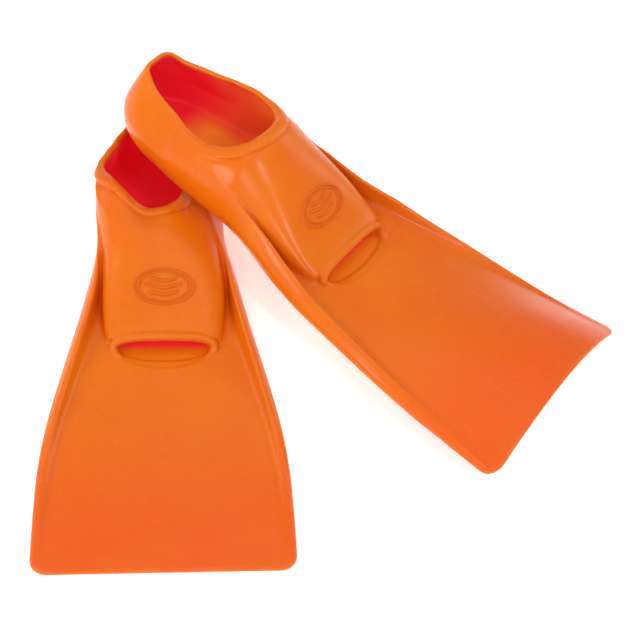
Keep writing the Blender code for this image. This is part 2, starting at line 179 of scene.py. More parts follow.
# Foot pocket, outer surface
sole_half = curve((-150, 28), (-115, 33), (-80, 37), (-50, 38), (-25, 37.5), (0, 34))
bulge_half = curve((-150, 38.5), (-120, 43), (-85, 43.4), (-60, 43), (-34, 42.4), (-12, 40.5), (0, 38))
bulge_height = curve((-150, 22), (-85, 22), (-60, 16), (-34, 9), (0, 6))
crown_height = curve((-100, 66), (-84, 65), (-77, 62), (-60, 51), (-40, 38), (-20, 24.5), (-8, 16.6), (0, 13))
# Collar: the plan and the height of its rim
rim_half = curve((-150, 22.5), (-132, 28.5), (-115, 31.5), (-100, 29), (-90, 21), (-85, 11.5), (-81, 4))
rim_height = curve(
    (-190, 58.3), (-181, 58), (-175, 54.7), (-170, 51.5), (-160, 49), (-150, 48.3), (-130, 47.5),
    (-112, 49.5), (-98, 54.5), (-90, 59), (-85, 63), (-81, 64.8), (-79.5, 66), (-74, 74), (-62, 94),
)
# Rails: height of the ridge, its distance in from the widest edge, and the width of its inner face
ridge_height = curve(
    (-100, 37), (-62, 32), (-43, 26.5), (-22, 20), (23, 13.5), (60, 11), (100, 8), (176, 3.4),
)
ridge_inset = curve((-100, 2.2), (-85, 3.2), (-62, 6), (-32, 8.1), (23, 7.6), (100, 6), (176, 4.5))
ridge_face = curve((-100, 1), (-60, 2), (-22, 3), (23, 4.3), (60, 4), (176, 1.5))
edge_height = curve((-100, 16), (-54, 12), (0, 6), (100, 3), (176, 1.6))
foot_edge_tuck = curve((-100, 9), (-80, 7.5), (-54, 5.5), (-22, 1.6), (0, 1), (176, 0.6))
web_height = curve((-100, 35), (-85, 30), (-65, 20), (-45, 11), (-25, 6.4), (0, 5.4), (176, 5.4))


def blade_half(y):
    """Half-width of the fin's widest edge: straight flaring sides that turn parallel past the knee."""
    grow = BLADE_KNEE_SOFTNESS * np.log1p(np.exp((BLADE_KNEE - y) / BLADE_KNEE_SOFTNESS))
    return BLADE_HALF_WIDTH - BLADE_FLARE * grow


def blade_thickness(y):
    t = (y - APRON_END) / (BLADE_TIP - APRON_END)
    return BLADE_ROOT_THICKNESS + (BLADE_TIP_THICKNESS - BLADE_ROOT_THICKNESS) * np.clip(t, 0, 1)


def crown_exponent(y):
    """Squareness of the vamp's arch: round at the collar, flat-topped at the toes."""
    return 1.9 + 1.3 * smoothstep((y + 74) / 56)


# ---------------------------------------------------------------- the moulding as a distance field


def smooth_min(a, b, k):
    """Two fields joined into one, with a fillet of about k millimetres where they meet."""
    h = np.maximum(k - np.abs(a - b), 0) / k
    return np.minimum(a, b) - h * h * k / 4


def smooth_max(a, b, k):
    """What two fields have in common, with its edge rounded by about k millimetres."""
    return -smooth_min(-a, -b, k)


def true_distance(level, x, y, z):
    """Distance to a level set's zero, to first order."""
    e = 0.25
    here = level(x, y, z)
    slope = np.stack([level(x + e, y, z), level(x, y + e, z), level(x, y, z + e)]) - here
    length = np.sqrt((slope**2).sum(axis=0)) / e
    return np.clip(here / np.maximum(length, 0.05), -25, 25)


def arch_level(x, y, z):
    """The vamp's outside above its fullest part: an arch."""
    middle, wide, n = bulge_height(y), bulge_half(y), crown_exponent(y)
    up = np.clip((z - middle) / (crown_height(y) - middle), 0, None)
    return (((x / wide) ** n + up**n) ** (1 / n) - 1) * wide


def collar_level(x, y, z):
    """The collar's outside above its fullest part: flat walls that close in towards the rim."""
    middle = bulge_height(y)
    up = np.clip((z - middle) / (rim_height(y) - middle), 0, 1.3)
    bend = 1.05 + 1.15 * smoothstep((y + 150) / 38)
    return x - bulge_half(y) - (rim_half(y) - bulge_half(y)) * up**bend


def belly_level(x, y, z):
    """The foot pocket's outside below its fullest part: it turns under to the sole."""
    middle, wide, foot = bulge_height(y), bulge_half(y), sole_half(y)
    low = np.clip((middle - z) / middle, 0, None)
    return (np.hypot(np.maximum(x - foot, 0) / (wide - foot), low) - 1) * (wide - foot)


def heel_level(x, y, z):
    """The outside round the heel, where the plan at each height is a rounded end."""
    middle, wide, foot = (read(np.array(HEEL_PIVOT)) for read in (bulge_height, bulge_half, sole_half))
    belly = np.sqrt(1 - np.clip((middle - z) / middle, 0, 1) ** 2)
    lean = np.clip((z - middle) / (rim_height(y) - middle), 0, 1.15) ** 1.05
    high = z >= middle
    side = np.where(high, wide + (RIM_HALF - wide) * lean, foot + (wide - foot) * belly)
    reach_low = REACH_SOLE + (REACH_BULGE - REACH_SOLE) * belly
    reach = np.where(high, REACH_BULGE + (REACH_RIM - REACH_BULGE) * lean, reach_low)
    # How fast the sides close in behind the pivot, and how square the end is
    taper = np.where(high, 0.16 + 0.10 * lean, 0.10 + 0.06 * belly)
    m = np.where(high, 2.5 + 2.3 * lean, 2.3 + 0.2 * belly)
    back = HEEL_PIVOT - y
    half = np.maximum(side - taper * back, 3.0)
    round_back = np.maximum(back, 0) / reach
    return ((round_back**m + (x / half) ** m) ** (1 / m) - 1) * half


def pocket_distance(x, y, z):
    """Distance to the foot pocket's outside."""
    arch = true_distance(arch_level, x, y, z)
    collar = true_distance(collar_level, x, y, z)
    upper = arch + smoothstep((COLLAR_BLEND_START - y) / COLLAR_BLEND) * (collar - arch)
    distance = np.where(z >= bulge_height(y), upper, true_distance(belly_level, x, y, z))
    heel = y < HEEL_PIVOT + HEEL_BLEND
    if heel.any():
        hx, hy, hz = x[heel], y[heel], z[heel]
        part = smoothstep((HEEL_PIVOT + HEEL_BLEND - hy) / HEEL_BLEND)
        round_heel = smooth_max(true_distance(heel_level, hx, hy, hz), -hz, 3.0)
        distance[heel] += part * (round_heel - distance[heel])
    return distance


def line_distance(x, z, x0, z0, x1, z1):
    """Distance from the line through two points of a section; positive on its outer side."""
    dx, dz = x1 - x0, z1 - z0
    return (dx * (z - z0) - dz * (x - x0)) / -np.hypot(dx, dz)


def plate_distance(x, y, z):
    """The web and blade with a rail along each edge."""
    wide = blade_half(y)
    ridge, inset, face = ridge_height(y), ridge_inset(y), ridge_face(y)
    edge = np.minimum(edge_height(y), 0.6 * ridge)
    tuck = foot_edge_tuck(y)
    web = np.where(y < APRON_END, np.minimum(web_height(y), ridge - 1.5), blade_thickness(y))
    top = wide - inset
    shoulder_x, shoulder_z = wide - 0.35 * inset, edge + 0.55 * (ridge - edge)
    inner = line_distance(x, z, top, ridge, top - face, web)
    upper = line_distance(x, z, shoulder_x, shoulder_z, top + 0.8, ridge)
    lower = line_distance(x, z, wide, edge, shoulder_x, shoulder_z)
    under = line_distance(x, z, wide - tuck, np.zeros_like(x), wide, edge)
    rail = smooth_max(smooth_max(inner, upper, 3.0), smooth_max(lower, under, 2.4), 1.0)
    rail = smooth_max(rail, -z, 1.5)
    plate = smooth_max(smooth_max(z - web, -z, 1.2), x - (wide - tuck - 2), 1.0)
    body = smooth_min(rail, plate, 3.5)
    corner_x = x - (blade_half(y) - TIP_CORNER)
    corner_y = y - (BLADE_TIP - TIP_CORNER)
    outline = (
        np.hypot(np.maximum(corner_x, 0), np.maximum(corner_y, 0))
        + np.minimum(np.maximum(corner_x, corner_y), 0)
        - TIP_CORNER
    )
    body = np.where(y > TIP_START, smooth_max(body, outline, 1.6), body)
    return np.maximum(body, RAIL_START - y)


def drain_distance(x, y, z):
    """The drain's shallow scoop in front of the toes: a crescent bevel, then a drop to its bed."""
    q = np.sqrt(np.clip(1 - (x / DRAIN_HALF_WIDTH) ** 2, 0.0004, 1))
    outer, inner = DRAIN_START + DRAIN_REACH * q, DRAIN_START - 0.5 + 0.62 * DRAIN_REACH * q
    edge = 0.8 * smoothstep((outer - y) / 1.6)
    bevel = 0.6 * np.clip((outer - y) / (outer - inner), 0, 1)
    bed = BLADE_ROOT_THICKNESS + 0.3 - edge - bevel - 1.8 * smoothstep((inner - y) / 3.0)
    scoop = (bed - z) * 0.85
    scoop = smooth_max(scoop, x - DRAIN_HALF_WIDTH, 2.0)
    scoop = smooth_max(scoop, (y - outer) * 0.8, 0.8)
    scoop = smooth_max(scoop, z - 8.5 - 4 * np.maximum(y - 1, 0), 1.0)
    return np.maximum(scoop, -14 - y)


def lip_path():
    """The lip's middle line: over the drain, then curling down and forward into the apron at each end."""
    path = np.array(LIP_PATH)
    for _ in range(3):
        a, b = path[:-1], path[1:]
        cut = np.stack([0.75 * a + 0.25 * b, 0.25 * a + 0.75 * b], axis=1).reshape(-1, 4)
        path = np.concatenate([path[:1], cut[1:-1], path[-1:]])
    return path


def lip_distance(x, y, z):
    """The rolled lip over the drain."""
    best = np.full(x.shape, 1e9)
    for a, b in zip(LIP_LINE[:-1], LIP_LINE[1:]):
        d = b[:3] - a[:3]
        s = np.clip(((x - a[0]) * d[0] + (y - a[1]) * d[1] + (z - a[2]) * d[2]) / (d @ d), 0, 1)
        gap = np.sqrt((x - a[0] - s * d[0]) ** 2 + (y - a[1] - s * d[1]) ** 2 + (z - a[2] - s * d[2]) ** 2)
        best = np.minimum(best, gap - a[3] - s * (b[3] - a[3]))
    return best


LIP_LINE = lip_path()


def fin_distance(points):
    """Distance to the whole moulding's surface, negative in the rubber."""
    x, y, z = np.abs(points[:, 0]), points[:, 1], points[:, 2]
    whole = np.full(len(x), 20.0)
    ahead = y > RAIL_START - 1
    whole[ahead] = plate_distance(x[ahead], y[ahead], z[ahead])
    near = (y < POCKET_FRONT) & (x < POCKET_SIDE)
    if near.any():
        whole[near] = foot_distance(x[near], y[near], z[near], whole[near])
    return smooth_max(whole, -z, 1.0)


def rim_distance(y, z):
    """Distance from the foot opening's rim, seen from the side."""
    distance = np.full(len(y), 20.0)
    near = (y < OPENING_END) & (z > 34)
    for rim_y in np.linspace(RIM_BACK, RIM_FRONT, 90):
        gap = np.hypot(y[near] - rim_y, z[near] - rim_height(rim_y))
        distance[near] = np.minimum(distance[near], gap)
    return distance


def foot_distance(x, y, z, plate):
    """The foot pocket joined with the plate, hollowed and opened."""
    slope = rim_height(y + 0.5) - rim_height(y - 0.5)
    over_rim = (z - rim_height(y)) / np.sqrt(1 + slope**2)
    opening = np.where(y < OPENING_END, over_rim, -20.0)
    # The rim's band, with a groove along its lower edge; both fade out towards the heel
    from_rim = rim_distance(y, z)
    band = BAND_HEIGHT * smoothstep((BAND_WIDTH - from_rim) / 1.5 + 0.5)
    band -= BAND_GROOVE * np.exp(-(((from_rim - BAND_WIDTH - 1.6) / 1.1) ** 2))
    band *= smoothstep((y + 116) / 30)
    # The solid foot, joined to the plate
    outside = pocket_distance(x, y, z)
    shell = smooth_max(outside - band, y + 1.6, 1.6)
    solid = smooth_min(shell, plate, 3.0)
    # The wall has its own thickness at the rim
    wall = WALL_AT_HEEL_RIM + (WALL_AT_FRONT_RIM - WALL_AT_HEEL_RIM) * smoothstep((y + 165) / 65)
    wall += (WALL - wall) * smoothstep(-opening / 8)
    # Room for the foot, then the drain, the foot opening and the lip
    cavity = smooth_max(outside + wall, FOOT_BED - z, 5.0)
    cavity = smooth_max(cavity, y - 1.0, 1.0)
    solid = smooth_max(solid, -cavity, 0.8)
    solid = smooth_max(solid, -drain_distance(x, y, z), 0.6)
    solid = smooth_max(solid, opening, 1.6)
    return smooth_min(solid, lip_distance(x, y, z), 1.2)


# ---------------------------------------------------------------- from field to mesh


def sample_field(distance, low, high, step):
    """Values of a field that is the same on both sides of x = 0, on a grid centred on that plane."""
    xs = np.arange(0, high[0] + step, step)
    ys = np.arange(low[1], high[1] + step, step)
    zs = np.arange(low[2], high[2] + step, step)
    half = np.empty((len(xs), len(ys), len(zs)))
    for i, x in enumerate(xs):
        gy, gz = np.meshgrid(ys, zs, indexing="ij")
        points = np.stack([np.full(gy.size, x), gy.ravel(), gz.ravel()], axis=1)
        half[i] = distance(points).reshape(gy.shape)
    return np.concatenate([half[:0:-1], half]), np.array([-xs[-1], ys[0], zs[0]])


def surface_net(values, origin, step):
    """Quads round a field's zero surface: one point in each cell that the surface crosses."""
    inside = values < 0
    corner = [(i, j, k) for i in (0, 1) for j in (0, 1) for k in (0, 1)]
    size = [n - 1 for n in values.shape]
    count = np.zeros(size, np.int8)
    for i, j, k in corner:
        count += inside[i : i + size[0], j : j + size[1], k : k + size[2]]
    cell = np.argwhere((count > 0) & (count < 8))
    number = np.full(size, -1, np.int64)
    number[tuple(cell.T)] = np.arange(len(cell))
    value = np.stack([values[tuple((cell + c).T)] for c in corner], axis=1)
    place = np.zeros((len(cell), 3))
    crossings = np.zeros(len(cell))
    for a in range(8):
        for b in range(a + 1, 8):
            if sum(abs(p - q) for p, q in zip(corner[a], corner[b])) != 1:
                continue
            va, vb = value[:, a], value[:, b]
            cut = (va < 0) != (vb < 0)
            t = np.where(cut, va / np.where(cut, va - vb, 1), 0)
            at = np.array(corner[a]) + t[:, None] * (np.array(corner[b]) - np.array(corner[a]))
            place += np.where(cut[:, None], at, 0)
            crossings += cut
    points = origin + step * (cell + place / crossings[:, None])
    quads = []
    for axis in range(3):
        ahead = [slice(None)] * 3
        here = [slice(None)] * 3
        ahead[axis], here[axis] = slice(1, None), slice(None, -1)
        first, second = inside[tuple(here)], inside[tuple(ahead)]
        u, v = (axis + 1) % 3, (axis + 2) % 3
        edge = np.argwhere(first != second)
        edge = edge[(edge[:, u] > 0) & (edge[:, v] > 0)]
        edge = edge[(edge[:, u] < size[u]) & (edge[:, v] < size[v])]
        around = []
        for du, dv in ((1, 1), (0, 1), (0, 0), (1, 0)):
            step_back = np.zeros(3, int)
            step_back[u], step_back[v] = du, dv
            around.append(number[tuple((edge - step_back).T)])
        quad = np.stack(around, axis=1)
        flip = ~first[tuple(edge.T)]
        quad[flip] = quad[flip][:, ::-1]
        quads.append(quad)
    return points, np.concatenate(quads)


def slope_of(distance, points, e=0.2):
    """Value and gradient of a field at points."""
    value = distance(points)
    gradient = np.empty_like(points)
    for axis in range(3):
        moved = points.copy()
        moved[:, axis] += e
        gradient[:, axis] = (distance(moved) - value) / e
    return value, gradient


def settle(distance, points, quads, step, rounds):
    """Evens out the mesh and draws every point onto the surface."""
    a, b = quads.ravel(), np.roll(quads, 1, axis=1).ravel()
    ends, others = np.concatenate([a, b]), np.concatenate([b, a])
    degree = np.bincount(ends, minlength=len(points))
    for turn in range(rounds + 1):
        if turn < rounds:
            mean = np.stack([np.bincount(ends, points[others, i], len(points)) for i in range(3)], axis=1)
            points = 0.4 * points + 0.6 * mean / degree[:, None]
        for _ in range(2):
            value, gradient = slope_of(distance, points)
            length = np.maximum((gradient**2).sum(axis=1), 0.2)
            shift = -(value / length)[:, None] * gradient
            far = np.linalg.norm(shift, axis=1)
            shift *= (np.minimum(far, 0.4 * step) / np.maximum(far, 1e-9))[:, None]
            points = points + shift
    return points


def moulding():
    """The moulding's mesh in the fin's own frame."""
    values, origin = sample_field(fin_distance, REGION_LOW, REGION_HIGH, STEP)
    points, quads = surface_net(values, origin, STEP)
    return settle(fin_distance, points, quads, STEP, RELAX_ROUNDS), quads


# ---------------------------------------------------------------- how the fins lie


def uneven(points, phase):
    """Soft rubber is never quite even: its surface wanders by a fraction of a millimetre."""
    x, y, z = points.T
    wave = (
        np.sin(x / 17 + 1.3 * phase) * np.sin(y / 23 + 0.7 * phase)
        + 0.6 * np.sin((x + y) / 11.5 + 2.1 * phase)
        + 0.5 * np.sin((x - 1.3 * y) / 29 - phase)
    )
    lift = 0.16 * wave * smoothstep(z / 3)
    return np.stack([x, y + 0.4 * lift, z + lift], axis=1)


def lie_flat(points):
    """The lower fin: its collar leans aside and is pressed down where the other fin lies on it."""
    x, y, z = uneven(points, 1.0).T
    # How much a point belongs to the collar, to the heel, and to the side under the other fin
    collar = smoothstep((-30 - y) / 60)
    heel = smoothstep((-150 - y) / 45)
    under = smoothstep((30 - x) / 60)
    lean = COLLAR_LEAN * collar * (1 - heel) * np.clip(z / 50, 0, 1) ** 3
    pressed = COLLAR_PRESS * collar * (0.35 + 0.65 * under)
    pressed += HEEL_PRESS * np.maximum(under * smoothstep((-70 - y) / 50), heel)
    x = x + lean
    # The rim's free side is drawn back and up, and its front has a dip
    fold = smoothstep((x - 8) / 30) * smoothstep((y + 172) / 66) * smoothstep((-46 - y) / 52)
    fold *= smoothstep((z - 20) / 30)
    dx, dy, dz = COLLAR_FOLD
    notch = COLLAR_NOTCH * np.exp(-(((x - 12) / 15) ** 2))
    notch *= smoothstep((y + 112) / 24) * smoothstep((-60 - y) / 18)
    down = pressed * (z / 60) ** 2 + notch * smoothstep((z - 30) / 28)
    return np.stack([x + dx * fold, y + dy * fold, z + dz * fold - down], axis=1)


def lie_across(points):
    """The upper fin: its blade twists a little and arches up between its tip corners."""
    x, y, z = uneven(points, 2.7).T
    across = x / BLADE_HALF_WIDTH
    along = np.clip(y / BLADE_TIP, 0, 1)
    # The blade, then the far side of the foot opening's rim
    twist = (BLADE_TWIST * across - BLADE_SAG * across**2) * np.sin(math.pi * along)
    arch = BLADE_ARCH * smoothstep(along) * (1 - across**2)
    far_rim = smoothstep((-4 - x) / 22) * smoothstep((z - 22) / 26)
    far_rim *= smoothstep((y + 196) / 40) * smoothstep((-82 - y) / 44)
    y = y - 2.6 * along**3 * (0.55 - across**2)
    return np.stack([x + 0.8 - 2 * far_rim, y, z + twist + arch + FAR_RIM_LIFT * far_rim], axis=1)


lip_low, lip_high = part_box("toe_lip_a")
LOWER_ORIGIN = Vector(((lip_low.x + lip_high.x) / 2, (lip_low.y + lip_high.y) / 2 - 0.4 * MM, 0))
LOWER_PLACE = Matrix.Translation(LOWER_ORIGIN) @ Matrix.Rotation(math.pi, 4, "Z")
UPPER_PLACE = (
    Matrix.Translation(LOWER_ORIGIN + Vector(UPPER_FIN_PLACE) * MM)
    @ Matrix.Rotation(math.radians(UPPER_FIN_TURN - 180), 4, "Z")
    @ Matrix.Rotation(math.radians(-UPPER_FIN_PITCH), 4, "X")
    @ Matrix.Rotation(math.radians(-UPPER_FIN_ROLL), 4, "Y")
)
FINS = {"a": (lie_flat, LOWER_PLACE), "b": (lie_across, UPPER_PLACE)}


def in_place(tag, points):
    """Points of the fin's own frame, in millimetres, where that fin lies, in metres."""
    lie, place = FINS[tag]
    turn = np.array(place.to_3x3())
    return lie(np.asarray(points, float)) * MM @ turn.T + np.array(place.translation)


# ---------------------------------------------------------------- pieces


def mesh_object(name, tag, points, faces, material, **marks):
    """A piece laid in place. It keeps its points in the fin's own frame, and any marks, for its material."""
    mesh = bpy.data.meshes.new(name)
    mesh.from_pydata(in_place(tag, points).tolist(), [], faces.tolist())
    place = mesh.attributes.new("fin_place", "FLOAT_VECTOR", "POINT")
    place.data.foreach_set("vector", (points * MM).ravel())
    for mark, value in marks.items():
        layer = mesh.attributes.new(mark, "FLOAT", "POINT")
        layer.data.foreach_set("value", np.asarray(value, np.float32))
    mesh.shade_smooth()
    mesh.materials.append(material)
    obj = bpy.data.objects.new(name, mesh)
    bpy.context.scene.collection.objects.link(obj)
    return obj


def hollow_mark(points):
    """1 on the surface inside the foot pocket, 0 outside; the material paints the pocket's shade, light and
    glow by it.
    """
    x, y, z = np.abs(points[:, 0]), points[:, 1], points[:, 2]
    mark = np.zeros(len(x))
    near = (y < 2) & (x < POCKET_SIDE)
    mark[near] = smoothstep((-pocket_distance(x[near], y[near], z[near]) - 0.8) / 1.8)
    below_rim = np.where(y < OPENING_END, rim_height(y) - z, 20)
    within_lip = np.where(y > -9, 36 - x, 20)
    mark *= smoothstep((below_rim - 3.0) / 3.0)
    mark *= smoothstep((1.2 - y) / 2.5)
    return mark * smoothstep(within_lip / 3)


def ridge_mark(points, reach=1.6):
    """Above 0 on ridges and edges, below 0 in grooves."""
    total = -6 * fin_distance(points)
    for axis in range(3):
        for side in (-reach, reach):
            moved = points.copy()
            moved[:, axis] += side
            total += fin_distance(moved)
    return np.clip(total / reach, -1.5, 1.5)


def evened(values, quads, rounds):
    """Values averaged with their neighbours."""
    a, b = quads.ravel(), np.roll(quads, 1, axis=1).ravel()
    ends, others = np.concatenate([a, b]), np.concatenate([b, a])
    degree = np.bincount(ends, minlength=len(values))
    for _ in range(rounds):
        values = 0.5 * values + 0.5 * np.bincount(ends, values[others], len(values)) / degree
    return values


def vamp_top(x, y):
    """Height of the vamp's outside."""
    n, middle = crown_exponent(y), bulge_height(y)
    return middle + (crown_height(y) - middle) * np.clip(1 - np.abs(x / bulge_half(y)) ** n, 0, 1) ** (1 / n)


def emblem_relief(u, v):
    """The emblem's raised lines: an oval ring round three shallow arcs. 1 on a line, 0 off it."""
    round_about = np.hypot(u / EMBLEM_HALF[0], v / EMBLEM_HALF[1])
    lines = [np.abs(round_about - ring) * RING_SCALE + thinner for ring, thinner in RINGS]
    turn = 2 * math.pi / ARC_SPAN
    for row, reach in ARCS:
        swing, lean = ARC_SWING * np.cos(u * turn), -ARC_SWING * turn * np.sin(u * turn)
        beyond = np.maximum(np.abs(u) - reach, 0)
        lines.append(np.hypot((v - row - swing) / np.sqrt(1 + lean**2), beyond) - 0.15)
    nearest = np.minimum.reduce(lines)
    return smoothstep((1.2 - nearest) / 0.75)


def emblem_mesh():
    """A thin closed patch on the vamp, of which only the raised lines stand out of it."""
    reach_u, reach_v = (half + EMBLEM_MARGIN for half in EMBLEM_HALF)
    us = np.arange(-reach_u, reach_u + EMBLEM_STEP, EMBLEM_STEP)
    vs = np.arange(-reach_v, reach_v + EMBLEM_STEP, EMBLEM_STEP)
    u, v = (grid.ravel() for grid in np.meshgrid(us, vs, indexing="ij"))
    x, y = u, EMBLEM_MIDDLE + v
    e = 0.3
    fall_x = (vamp_top(x + e, y) - vamp_top(x - e, y)) / (2 * e)
    fall_y = (vamp_top(x, y + e) - vamp_top(x, y - e)) / (2 * e)
    out = np.stack([-fall_x, -fall_y, np.ones_like(x)], axis=1)
    out /= np.linalg.norm(out, axis=1)[:, None]
    base = np.stack([x, y, vamp_top(x, y)], axis=1)
    relief = emblem_relief(u, v)
    top = base + out * (EMBLEM_RISE * relief - EMBLEM_SINK)[:, None]
    bottom = base - out * EMBLEM_DEPTH
    number = np.arange(len(us) * len(vs)).reshape(len(us), len(vs))
    corners = (number[:-1, :-1], number[1:, :-1], number[1:, 1:], number[:-1, 1:])
    cells = np.stack(corners, axis=-1).reshape(-1, 4)
    loop = np.concatenate([number[:-1, 0], number[-1, :-1], number[:0:-1, -1], number[0, :0:-1]])
    after = np.roll(loop, -1)
    count = number.size
    wall = np.stack([loop, loop + count, after + count, after], axis=1)
    faces = np.concatenate([cells, cells[:, ::-1] + count, wall])
    return np.concatenate([top, bottom]), faces, np.concatenate([relief, np.zeros(count)])


# ---------------------------------------------------------------- rubber


ORANGE_TOES = (0.76, 0.170, 0.003)
ORANGE_TIP = (0.75, 0.100, 0.003)
ORANGE_CLOUD = (0.74, 0.124, 0.004)
ORANGE_DEEP = (0.70, 0.080, 0.003)
# Pale orange: rub wear and scuffs, and a painted highlight on the ridges
ORANGE_WEAR_AND_HIGHLIGHT = (0.82, 0.24, 0.035)
# Deeper orange: painted shade in the grooves, and the colour of the emblem's raised lines
ORANGE_SHADE_AND_EMBLEM = (0.66, 0.040, 0.003)
# Colour of a painted glow inside the pocket
PAINTED_GLOW = (1.0, 0.012, 0.035)
# Painted light and shade inside the pocket: colours at the heel, at the toes and along the foot bed, crimson
# where shade falls and orange where light falls in, and the strength of a painted glow for the light that
# comes through the walls
POCKET_PAINTED_LIGHT = {
    "a": ((0.98, 0.022, 0.060), (0.98, 0.022, 0.058), (0.99, 0.034, 0.062), 0.066),
    "b": ((0.98, 0.024, 0.060), (0.98, 0.290, 0.036), (0.98, 0.540, 0.030), 0.025),
}


class Nodes:
    """A new material, with short calls that add nodes to it."""

    def __init__(self, name):
        self.material = bpy.data.materials.new(name)
        self.material.use_nodes = True
        self.tree = self.material.node_tree
        self.shader = self.tree.nodes["Principled BSDF"]

    def node(self, kind, **settings):
        made = self.tree.nodes.new(kind)
        for key, value in settings.items():
            setattr(made, key, value)
        return made

    def feed(self, socket, value):
        if isinstance(value, bpy.types.NodeSocket):
            self.tree.links.new(value, socket)
        else:
            socket.default_value = value

    def attribute(self, name, output="Fac"):
        return self.node("ShaderNodeAttribute", attribute_name=name).outputs[output]

    def noise(self, place, scale, detail=2.0, rough=0.5, distortion=0.0):
        made = self.node("ShaderNodeTexNoise")
        self.feed(made.inputs["Vector"], place)
        made.inputs["Scale"].default_value = scale
        made.inputs["Detail"].default_value = detail
        made.inputs["Roughness"].default_value = rough
        made.inputs["Distortion"].default_value = distortion
        return made.outputs["Fac"]

    def math(self, kind, a, b=0.0, clamp=False):
        """One sum of two numbers or sockets, held between 0 and 1 if clamped."""
        made = self.node("ShaderNodeMath", operation=kind, use_clamp=clamp)
        self.feed(made.inputs[0], a)
        self.feed(made.inputs[1], b)
        return made.outputs[0]

    def spread(self, value, low, high, to_low=0.0, to_high=1.0):
        """Goes smoothly from to_low to to_high while the value goes from low to high."""
        made = self.node("ShaderNodeMapRange", interpolation_type="SMOOTHSTEP")
        self.feed(made.inputs["Value"], value)
        for key, number in (("From Min", low), ("From Max", high), ("To Min", to_low), ("To Max", to_high)):
            made.inputs[key].default_value = number
        return made.outputs["Result"]

    def mix(self, factor, a, b):
        made = self.node("ShaderNodeMix", data_type="RGBA", blend_type="MIX")
        self.feed(made.inputs["Factor"], factor)
        for socket, value in ((made.inputs[6], a), (made.inputs[7], b)):
            self.feed(socket, (*value, 1.0) if isinstance(value, tuple) else value)
        return made.outputs[2]


